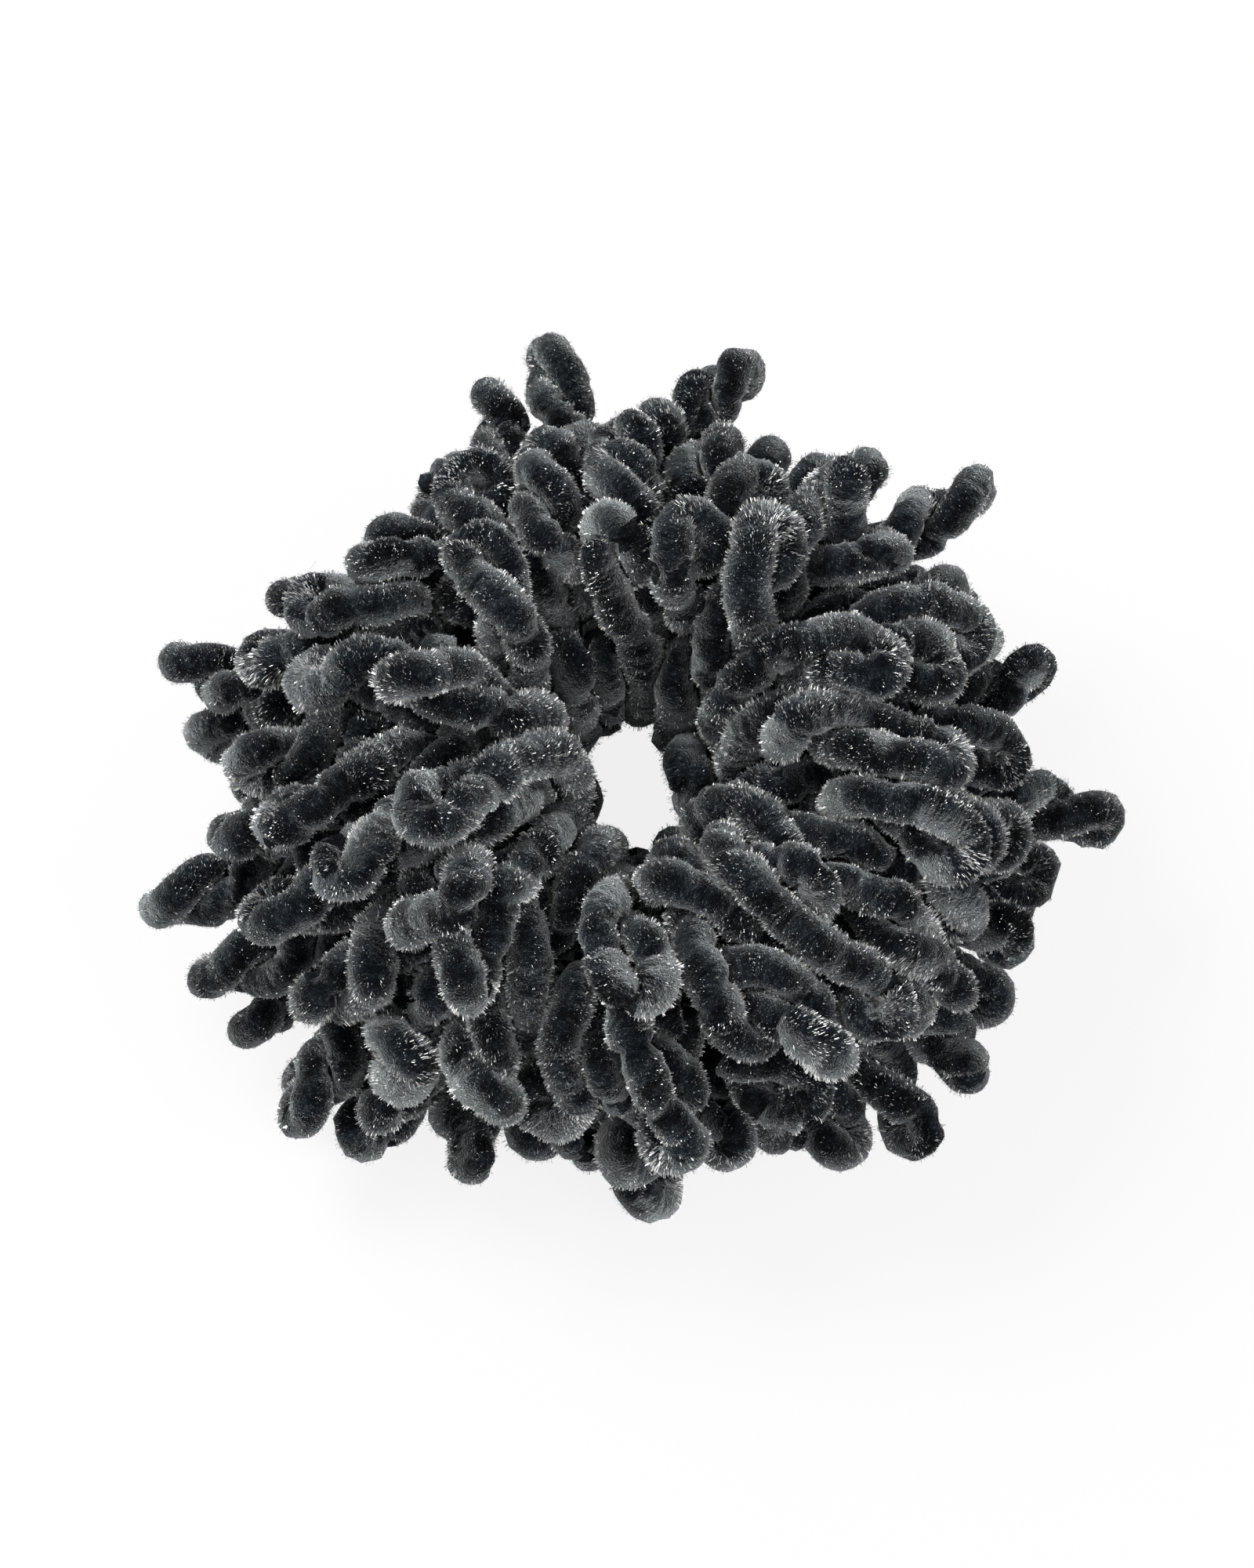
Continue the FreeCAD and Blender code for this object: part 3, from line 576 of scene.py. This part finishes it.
def fibre_mesh(mesh, strand, per_mm):
    """Single-triangle fibres, standing out from the strand and cut where the pile ends."""
    at, angle, clear = fibre_places(strand, per_mm)
    count = len(at)
    n = len(strand.line)
    i = at.astype(int)
    i2 = (i + 1) % n
    f = (at - i)[:, None]
    corner = angle / (2 * math.pi) * AROUND
    j = corner.astype(int) % AROUND
    j2 = (j + 1) % AROUND
    g = corner - corner.astype(int)

    def between(values):
        """Values at the fibres, from those at the stations to the two sides of each."""
        return values[i] * (1 - f) + values[i2] * f

    r = strand.reach
    reach = ((r[i, j] * (1 - g) + r[i, j2] * g) * (1 - f[:, 0])
             + (r[i2, j] * (1 - g) + r[i2, j2] * g) * f[:, 0])
    line = between(strand.line)
    side, up, ahead = (unit(between(axis)) for axis in (strand.side, strand.up, strand.ahead))
    out = side * np.cos(angle)[:, None] + up * np.sin(angle)[:, None]
    round_ = -side * np.sin(angle)[:, None] + up * np.cos(angle)[:, None]
    place = at * (strand.run[-1] / (n - 1))
    along_mm = place * 1000
    crest = clear * np.cos(2 * math.pi * strand.ridges(place, angle)[0])
    lobe, part, _, _ = strand.lobes(place, angle)
    clump = strand.clumps(place, angle)

    # The direction of each fibre: along the strand, round it, and away from the inside of a bend.
    lean = strand.leans[lobe] + strand.fans[lobe] * (2 * part - 1)
    lean += SLOW_LIE * waves(strand.seed + 5, along_mm, angle, LEAN_CHANGE)
    swirl = strand.swirls[lobe] * np.cos(angle - strand.seed[2])
    swirl += SLOW_LIE * waves(strand.seed + 9, along_mm, angle, SWIRL_CHANGE)
    lean += rng.normal(0, FIBRE_LIE, count) + CLUMP_LEAN * clump[:, 0]
    swirl += rng.normal(0, FIBRE_LIE, count) + CLUMP_LEAN * clump[:, 1]
    bend = between(strand.bend)
    way = unit(out + ahead * lean[:, None] + round_ * swirl[:, None] - OPENING * bend)

    # Its root and tip, kept above the floor, and its width.
    reach = reach * (1 - TIP_DIP * strand.dips(place, angle))
    root_r = reach * BODY_SHARE - ROOT_SINK
    tip_r = reach * (rng.uniform(*TIP_REACH, count) + TIP_ROWS * crest)
    length = (tip_r - root_r) / np.maximum((way * out).sum(1), LEAST_RISE)
    root = line + out * root_r[:, None]
    tip = root + way * length[:, None]
    tip[:, 2] = np.maximum(tip[:, 2], 0.0)
    root[:, 2] = np.maximum(root[:, 2], 0.0)
    turn = rng.uniform(0, math.pi, count)[:, None]
    across = unit(ahead * np.cos(turn) + round_ * np.sin(turn))
    across = across - way * (across * way).sum(1, keepdims=True)
    across = unit(across) * (FIBRE_WIDTH / 2)
    tufted = (rng.random(count) < TUFTED)[:, None]

    # Its shading normal, from the lie of the pile, and the winding that faces the same way.
    rows = clear * np.sin(2 * math.pi * strand.ridges(place, angle)[0])
    nap = strand.naps[lobe]
    shading = way + ahead * (nap[:, :1] + (ROW_TILT * rows)[:, None]) + round_ * nap[:, 1:]
    shading = shading + CLUMP_TILT * (ahead * clump[:, :1] + round_ * clump[:, 1:2])
    shading = unit(shading + NAP_SPREAD * rng.normal(0, 1, (count, 3)))
    flat = np.cross(across, way) * np.where(tufted, 1, -1)
    across = across * np.sign((flat * shading).sum(1, keepdims=True))
    wide, narrow = np.where(tufted, tip, root), np.where(tufted, root, tip)
    points = np.stack([wide - across, wide + across, narrow], 1).reshape(-1, 3)
    faces = np.arange(count * 3).reshape(-1, 3)

    # Its shade, the same all over the fibre, partly painted sheen and light, and its run from root to tip.
    # Stretches paler or darker: painted sheen of brushed pile.
    shade = MIDDLE_SHADE + strand.brushed_sheen[lobe]
    shade += SLOW_SHADE * waves(strand.seed + 3, along_mm, angle, SHADE_CHANGE)
    # Paler bends: painted sheen; paler crests of rows: painted light.
    shade += BEND_PAINTED_SHEEN * np.minimum(1, np.linalg.norm(bend, axis=1) * PILE) + ROW_PAINTED_LIGHT * crest
    shade = np.clip(shade + CLUMP_SHADE * clump[:, 2] + rng.normal(0, FIBRE_SHADE, count), *SHADES)
    maps = np.zeros((count, 3, 2))
    maps[..., 0] = shade[:, None]
    maps[:, :2, 1] = np.where(tufted, TIP_V, ROOT_V)
    maps[:, 2, 1] = np.where(tufted, ROOT_V, TIP_V)[:, 0]
    # Fibres on pressed sides get painted shade: a copy of the material with almost no sheen.
    slots = np.where(strand.free[i, j] < PRESSED_AND_SHADED, PAINTED_SHADE_FIBRE, FIBRE)
    mesh.add(points, np.repeat(shading, 3, axis=0), faces, maps, maps, slots)


def resting_places(strand, per_metre, height):
    """Random places on the pile where nothing presses, each with the direction out of the strand."""
    n = len(strand.line)
    for _ in range(rng.poisson(strand.run[-1] * per_metre)):
        i, j = rng.integers(2, n - 2), rng.integers(0, AROUND)
        if strand.free[i, j] >= PRESSED_AND_SHADED:
            out = strand.directions(np.full((n, 1), 2 * math.pi * j / AROUND))[i, 0]
            yield strand.line[i] + out * strand.reach[i, j] * height, out


def stray_mesh(mesh, strand):
    """Long loose hairs and specks of lint that have settled on the pile."""
    for at, out in resting_places(strand, HAIRS_PER_METRE, 1.0):
        way = unit(rng.normal(0, 1, 3) + HAIR_RISE[0] * out)
        curl = rng.normal(0, HAIR_CURL, 3)
        length = rng.uniform(*HAIR_LENGTH)
        path = [at]
        for _ in range(HAIR_STEPS):
            way = unit(way + 0.5 * np.cross(way, curl) + HAIR_RISE[1] * out)
            path.append(path[-1] + way * length / HAIR_STEPS)
        path = np.array(path)
        path[:, 2] = np.maximum(path[:, 2], 0.0001)
        across = unit(np.cross(np.gradient(path, axis=0), out)) * HAIR_WIDTH / 2
        ribbon(mesh, np.concatenate([path - across, path + across]), out, HAIR_SHADE)
    for at, out in resting_places(strand, SPECKS_PER_METRE, 0.99):
        side = unit(np.cross(out, rng.normal(0, 1, 3)))
        size = rng.uniform(*SPECK) / 2
        ends = at + side * size * SPECK_STEPS
        across = unit(np.cross(side, out)) * size * rng.uniform(*SPECK_WIDTH, (3, 1))
        ribbon(mesh, np.concatenate([ends - across, ends + across]), out, SPECK_SHADE)


def ribbon(mesh, points, facing, shade):
    """A strip of quads between two rows of points, in one shade of the fibres' colours."""
    count = len(points) // 2
    i = np.arange(count - 1)
    faces = np.stack([i, i + 1, i + 1 + count, i + count], 1)
    maps = np.zeros((count - 1, 4, 2))
    maps[..., 0] = shade
    maps[..., 1] = TIP_V
    mesh.add(points, np.repeat(facing[None], len(points), axis=0), faces, maps, maps, FIBRE)


# --- materials -----------------------------------------------------------------------
# Colour stops, each with its place and linear colour.  On the dense body they are multiplied.
BODY_STREAKS = ((0.38, (0.0030, 0.0040, 0.0052)), (0.60, (0.0085, 0.011, 0.0135)),
                (0.75, (0.05, 0.054, 0.058)))
BODY_SPECKS = ((0.40, (0.6, 0.61, 0.63)), (0.60, (1.25, 1.25, 1.25)), (0.75, (4.0, 4.0, 3.9)))
# Paler patches: painted sheen of brushed pile, at random places.
BODY_PATCHES_PAINTED_SHEEN = ((0.40, (0.75, 0.75, 0.76)), (0.68, (2.2, 2.2, 2.2)))
# Paler on the rows' crests and darker between them: painted light and shade.
BODY_ROWS_PAINTED_LIGHT = ((0.38, (0.65, 0.66, 0.68)), (0.62, (1.7, 1.7, 1.68)))
# Dark fibre roots and pale tips: painted shade deep in the pile, painted sheen at the tips.
ROOT_SHADE_TO_TIP_SHEEN = ((0.0, (0.003, 0.004, 0.006)), (0.25, (0.015, 0.017, 0.02)),
               (0.6, (0.34, 0.345, 0.345)), (1.0, (0.68, 0.68, 0.67)))
DARK_TO_PALE = ((0.3, (0.02, 0.024, 0.028)), (0.5, (0.12, 0.13, 0.14)),
                (0.66, (0.72, 0.72, 0.71)), (0.86, (1.25, 1.25, 1.23)))


def new_material(name):
    m = bpy.data.materials.new(name)
    m.use_nodes = True
    return m, m.node_tree, m.node_tree.nodes["Principled BSDF"]


def set_inputs(made, values):
    for name, value in values.items():
        made.inputs[name].default_value = value


def node(tree, kind, inputs=None, **settings):
    made = tree.nodes.new(kind)
    for name, value in settings.items():
        setattr(made, name, value)
    set_inputs(made, inputs or {})
    return made


def calc(tree, operation, *values):
    """Output of a math node, whose values are numbers or other nodes' outputs."""
    made = node(tree, "ShaderNodeMath", operation=operation)
    for socket, value in zip(made.inputs, values):
        if isinstance(value, bpy.types.NodeSocket):
            tree.links.new(value, socket)
        else:
            socket.default_value = value
    return made.outputs[0]


def ramp(tree, source, stops):
    made = tree.nodes.new("ShaderNodeValToRGB")
    while len(made.color_ramp.elements) < len(stops):
        made.color_ramp.elements.new(0.5)
    for e, (at, colour) in zip(made.color_ramp.elements, stops):
        e.position = at
        e.color = (*colour, 1)
    tree.links.new(source, made.inputs[0])
    return made.outputs[0]


def times(tree, a, b):
    mixed = node(tree, "ShaderNodeMix", data_type="RGBA", blend_type="MULTIPLY")
    mixed.inputs["Factor"].default_value = 1.0
    tree.links.new(a, mixed.inputs["A"])
    tree.links.new(b, mixed.inputs["B"])
    return mixed.outputs["Result"]


def noise(tree, coords, scale, detail, roughness=0.5):
    made = node(tree, "ShaderNodeTexNoise", {"Scale": scale, "Detail": detail, "Roughness": roughness})
    tree.links.new(coords, made.inputs["Vector"])
    return made.outputs["Fac"]


def bump(tree, height, strength, distance, below=None):
    made = node(tree, "ShaderNodeBump", {"Strength": strength, "Distance": distance})
    tree.links.new(height, made.inputs["Height"])
    if below is not None:
        tree.links.new(below, made.inputs["Normal"])
    return made.outputs[0]


def object_coords(tree):
    return tree.nodes.new("ShaderNodeTexCoord").outputs["Object"]


def map_parts(tree, name):
    """The two coordinates of a map."""
    split = tree.nodes.new("ShaderNodeSeparateXYZ")
    tree.links.new(node(tree, "ShaderNodeUVMap", uv_map=name).outputs[0], split.inputs[0])
    return split.outputs["X"], split.outputs["Y"]


def yarn_coords(tree, along, around):
    """Coordinates that follow the yarn: along it, and round it without a seam."""
    run, turn = map_parts(tree, "Yarn")
    angle = calc(tree, "MULTIPLY", turn, 2 * math.pi)
    join = tree.nodes.new("ShaderNodeCombineXYZ")
    tree.links.new(calc(tree, "MULTIPLY", run, along), join.inputs["X"])
    for wave, axis in (("COSINE", "Y"), ("SINE", "Z")):
        tree.links.new(calc(tree, "MULTIPLY", calc(tree, wave, angle), around), join.inputs[axis])
    return join.outputs[0]


def velvet_body(name, sheen):
    m, tree, shader = new_material(name)
    streak = noise(tree, yarn_coords(tree, along=7.0, around=4.5), scale=1.0, detail=2.0, roughness=0.6)
    rows = noise(tree, yarn_coords(tree, along=0.95, around=1.3), scale=1.0, detail=1.0)
    fine = noise(tree, object_coords(tree), scale=2800.0, detail=3.0, roughness=0.75)
    sheen_patch = noise(tree, object_coords(tree), scale=140.0, detail=2.0)
    colour = times(tree, ramp(tree, streak, BODY_STREAKS), ramp(tree, fine, BODY_SPECKS))
    # Painted sheen on patches of brushed pile.
    colour = times(tree, colour, ramp(tree, sheen_patch, BODY_PATCHES_PAINTED_SHEEN))
    # Painted light and shade along the rows of the pile.
    colour = times(tree, colour, ramp(tree, rows, BODY_ROWS_PAINTED_LIGHT))
    tree.links.new(colour, shader.inputs["Base Color"])
    swell = bump(tree, rows, strength=0.9, distance=0.0004)
    height = calc(tree, "MULTIPLY_ADD", streak, 0.4, fine)
    grain = bump(tree, height, strength=1.0, distance=0.0004, below=swell)
    tree.links.new(grain, shader.inputs["Normal"])
    set_inputs(shader, {"Roughness": 0.95, "Specular IOR Level": 0.05, "Sheen Weight": sheen,
                        "Sheen Roughness": 0.19, "Sheen Tint": (1.1, 1.17, 1.2, 1)})
    return m


def pile_fibre(name, sheen):
    m, tree, shader = new_material(name)
    shade, height = map_parts(tree, "OFBake")
    way_up = node(tree, "ShaderNodeMapRange", {"From Min": ROOT_V, "From Max": TIP_V})
    tree.links.new(height, way_up.inputs["Value"])
    # Dark roots and pale tips: painted shade and painted sheen.
    colour = times(tree, ramp(tree, way_up.outputs[0], ROOT_SHADE_TO_TIP_SHEEN), ramp(tree, shade, DARK_TO_PALE))
    tree.links.new(colour, shader.inputs["Base Color"])
    set_inputs(shader, {"Roughness": 0.8, "Specular IOR Level": 0.1, "Sheen Weight": sheen,
                        "Sheen Roughness": 0.27, "Sheen Tint": (3.0, 3.0, 2.95, 1)})
    return m


# In the order of their slots; the last two are copies with almost no sheen, painted shade on pressed sides.
VELVET = [velvet_body("velvet_pile", 1.0), pile_fibre("pile_fibre", 1.0),
          velvet_body("pile_in_painted_shade", 0.04), pile_fibre("fibre_in_painted_shade", 0.05)]


def yarn_piece(node_name, body, per_mm):
    mesh = Mesh()
    found = strands[node_name]
    rows = (1 - FIBRE_BAND) / len(found)
    for number, strand in enumerate(found):
        low = FIBRE_BAND + rows * number
        body_mesh(mesh, strand, low + MAP_GAP, low + rows - MAP_GAP)
        fibre_mesh(mesh, strand, per_mm)
        if not strand.closed:
            stray_mesh(mesh, strand)
    obj = mesh.build(node_name.replace("segment", "yarn").replace("_loops", "_pile"), VELVET)
    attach(obj, body)
    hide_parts(node_name)


for name, body in nodes.items():
    yarn_piece(name, body, KINDS.get(name.split("_")[2], STITCH_FIBRES))


# --- elastic -------------------------------------------------------------------------
# The wave texture turns once every 2 pi / 20, so these give whole threads along and round.
THREAD = 2 * math.pi / 20 * math.sqrt(2)
BRAID_ALONG = 9 * THREAD
BRAID_AROUND = 8 * THREAD


def plain_rubber(name, dark, light, rough):
    m, tree, shader = new_material(name)
    grain = noise(tree, object_coords(tree), scale=900.0, detail=4.0)
    tree.links.new(ramp(tree, grain, ((0.35, dark), (0.7, light))), shader.inputs["Base Color"])
    shader.inputs["Roughness"].default_value = rough
    return m


def braid():
    """Threads that cross on the diagonal all round the elastic."""
    m, tree, shader = new_material("braid")
    turned = node(tree, "ShaderNodeMapping",
                  {"Scale": (BRAID_ALONG, BRAID_AROUND, 1), "Rotation": (0, 0, math.pi / 4)})
    tree.links.new(node(tree, "ShaderNodeUVMap", uv_map="OFBake").outputs[0], turned.inputs["Vector"])
    crossing = []
    for way in ("X", "Y"):
        wave = node(tree, "ShaderNodeTexWave", {"Scale": 1.0, "Distortion": 0.0}, bands_direction=way)
        tree.links.new(turned.outputs[0], wave.inputs["Vector"])
        crossing.append(wave.outputs["Fac"])
    over = calc(tree, "MAXIMUM", *crossing)
    fluff = noise(tree, object_coords(tree), scale=2500.0, detail=3.0)
    threads = ramp(tree, over, ((0.3, (0.006, 0.007, 0.008)), (0.9, (0.035, 0.037, 0.04))))
    worn = ramp(tree, fluff, ((0.35, (0.5, 0.5, 0.52)), (0.7, (1.6, 1.6, 1.6))))
    tree.links.new(times(tree, threads, worn), shader.inputs["Base Color"])
    tree.links.new(bump(tree, over, strength=0.8, distance=0.0003), shader.inputs["Normal"])
    set_inputs(shader, {"Roughness": 0.75, "Sheen Weight": 0.4})
    return m


RUBBER = plain_rubber("rubber", (0.03, 0.03, 0.03), (0.06, 0.06, 0.06), 0.6)
BRAID = braid()
SLEEVE = plain_rubber("sleeve_plastic", (0.02, 0.02, 0.02), (0.035, 0.035, 0.035), 0.4)


def arc_tube(name, azimuth, radius, material, steps=24, around=20):
    """A length of the elastic, from the middle of one segment to the middle of the next."""
    a = azimuth + np.linspace(0, TURN, steps + 1)
    out = np.stack([np.cos(a), np.sin(a), np.zeros_like(a)], 1)
    line = AXIS + out * RING_RADIUS
    t = np.linspace(0, 2 * math.pi, around, endpoint=False)
    normals = out[:, None] * np.cos(t)[None, :, None] + UP * np.sin(t)[None, :, None]
    points = line[:, None] + radius * normals
    shape = steps, around
    i = np.arange(steps)[:, None]
    j = np.arange(around)[None]
    j2 = (j + 1) % around
    faces = np.stack([i * around + j, (i + 1) * around + j, (i + 1) * around + j2, i * around + j2], -1)
    maps = np.stack([grid(i, i + 1, i + 1, i, shape=shape) / steps,
                     grid(j, j, j + 1, j + 1, shape=shape) / around], -1)
    mesh = Mesh()
    mesh.add(points.reshape(-1, 3), normals.reshape(-1, 3), faces.reshape(-1, 4), maps, maps, 0)
    return mesh.build(name, [material])


# Near the middle of each segment the elastic is held, by the sleeve there in the first one.
sleeve_lo, sleeve_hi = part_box("joining_sleeve")
HELD = math.asin((sleeve_hi[0] - sleeve_lo[0]) / 2 / RING_RADIUS) + math.radians(1.5)

for k in range(1, SEGMENTS + 1):
    start = FIRST_CENTRE + TURN * (k - 1)
    ends = [Vector(AXIS + RING_RADIUS * outward(x)) for x in (start + HELD, start + TURN - HELD)]
    for part, radius, material, node_name, slot in (
            ("cover", COVER_RADIUS, BRAID, "elastic_cover", "elastic_braid"),
            ("core", CORE_RADIUS, RUBBER, "elastic_core", "elastic_rubber")):
        piece = arc_tube(f"elastic_{part}_{k}", start, radius, material)
        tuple(ends[0])
        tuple(ends[1])
        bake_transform(piece)
        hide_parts(node_name)

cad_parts["joining_sleeve"].material_slots[0].material = SLEEVE

# --- stage ---------------------------------------------------------------------------
FLOOR_SIZE = 6
WHITE = (0.9, 0.9, 0.9, 1)
GLOW = 0.86               # share of the floor that is plain white to the camera, the rest shows shadow
SHADOW_ENDS = (0.15, 0.5) # from the first distance to the second, the rest fades out
SKY = ((0.0, (1.0, 1.0, 1.0)), (0.3, (0.85, 0.85, 0.85)), (0.6, (0.3, 0.3, 0.3)), (1.0, (0.1, 0.1, 0.1)))
SKY_STRENGTH = 1.25       # the sky's colours run from the horizon, or below it, to straight above
LAMPS = (                 # name, place, size, watts
    ("key", (-0.45, 0.3, 0.6), 0.4, 5.8),
    ("fill", (0.6, -0.4, 0.4), 0.5, 2.4))
LIT_POINT = (0, 0, 0.02)


def backdrop_material():
    m, tree, shader = new_material("backdrop")
    set_inputs(shader, {"Base Color": WHITE, "Roughness": 0.9, "Specular IOR Level": 0.1})
    glow = node(tree, "ShaderNodeEmission", {"Strength": 1.0})
    rays = tree.nodes.new("ShaderNodeLightPath")
    seen = calc(tree, "MAXIMUM", rays.outputs["Is Camera Ray"], rays.outputs["Is Glossy Ray"])
    away = node(tree, "ShaderNodeVectorMath", operation="LENGTH")
    tree.links.new(object_coords(tree), away.inputs[0])
    fade = node(tree, "ShaderNodeMapRange", {"From Min": SHADOW_ENDS[0], "From Max": SHADOW_ENDS[1],
                                             "To Min": GLOW, "To Max": 1.0})
    tree.links.new(away.outputs["Value"], fade.inputs["Value"])
    mix = tree.nodes.new("ShaderNodeMixShader")
    tree.links.new(calc(tree, "MULTIPLY", seen, fade.outputs[0]), mix.inputs[0])
    tree.links.new(shader.outputs[0], mix.inputs[1])
    tree.links.new(glow.outputs[0], mix.inputs[2])
    tree.links.new(mix.outputs[0], tree.nodes["Material Output"].inputs["Surface"])
    return m


bpy.ops.mesh.primitive_plane_add(size=FLOOR_SIZE, location=(0, 0, 0))
floor = bpy.context.object
floor.name = "floor"
floor.data.materials.append(backdrop_material())

world = bpy.data.worlds.new("studio")
bpy.context.scene.world = world
world.use_nodes = True
sky = world.node_tree
background = sky.nodes["Background"]
direction = sky.nodes.new("ShaderNodeSeparateXYZ")
sky.links.new(sky.nodes.new("ShaderNodeTexCoord").outputs["Generated"], direction.inputs[0])
sky.links.new(ramp(sky, direction.outputs["Z"], SKY), background.inputs["Color"])
background.inputs["Strength"].default_value = SKY_STRENGTH

for name, place, size, power in LAMPS:
    data = bpy.data.lights.new(name, "AREA")
    data.size = size
    data.energy = power
    lamp = bpy.data.objects.new(name, data)
    bpy.context.collection.objects.link(lamp)
    lamp.location = place
    lamp.rotation_euler = (Vector(LIT_POINT) - Vector(place)).to_track_quat("-Z", "Y").to_euler()

# --- camera --------------------------------------------------------------------------
DISTANCE = 0.420
ELEVATION = math.radians(60)
LENS = 64.29              # millimetres, on the sensor below
SENSOR = 36
LOW = 0.00118             # the picture's middle lies this far below the ring's, as the camera sees it
camera = bpy.data.objects.new("camera", bpy.data.cameras.new("camera"))
bpy.context.collection.objects.link(camera)
back = Vector((0, -math.cos(ELEVATION), math.sin(ELEVATION)))
target = Vector(AXIS) - LOW * Vector((0, math.sin(ELEVATION), math.cos(ELEVATION)))
camera.location = target + back * DISTANCE
camera.rotation_euler = (-back).to_track_quat("-Z", "Y").to_euler()
camera.data.lens = LENS
camera.data.sensor_width = SENSOR
camera.data.clip_start = 0.01
bpy.context.scene.camera = camera
bpy.context.scene.view_settings.view_transform = "Standard"
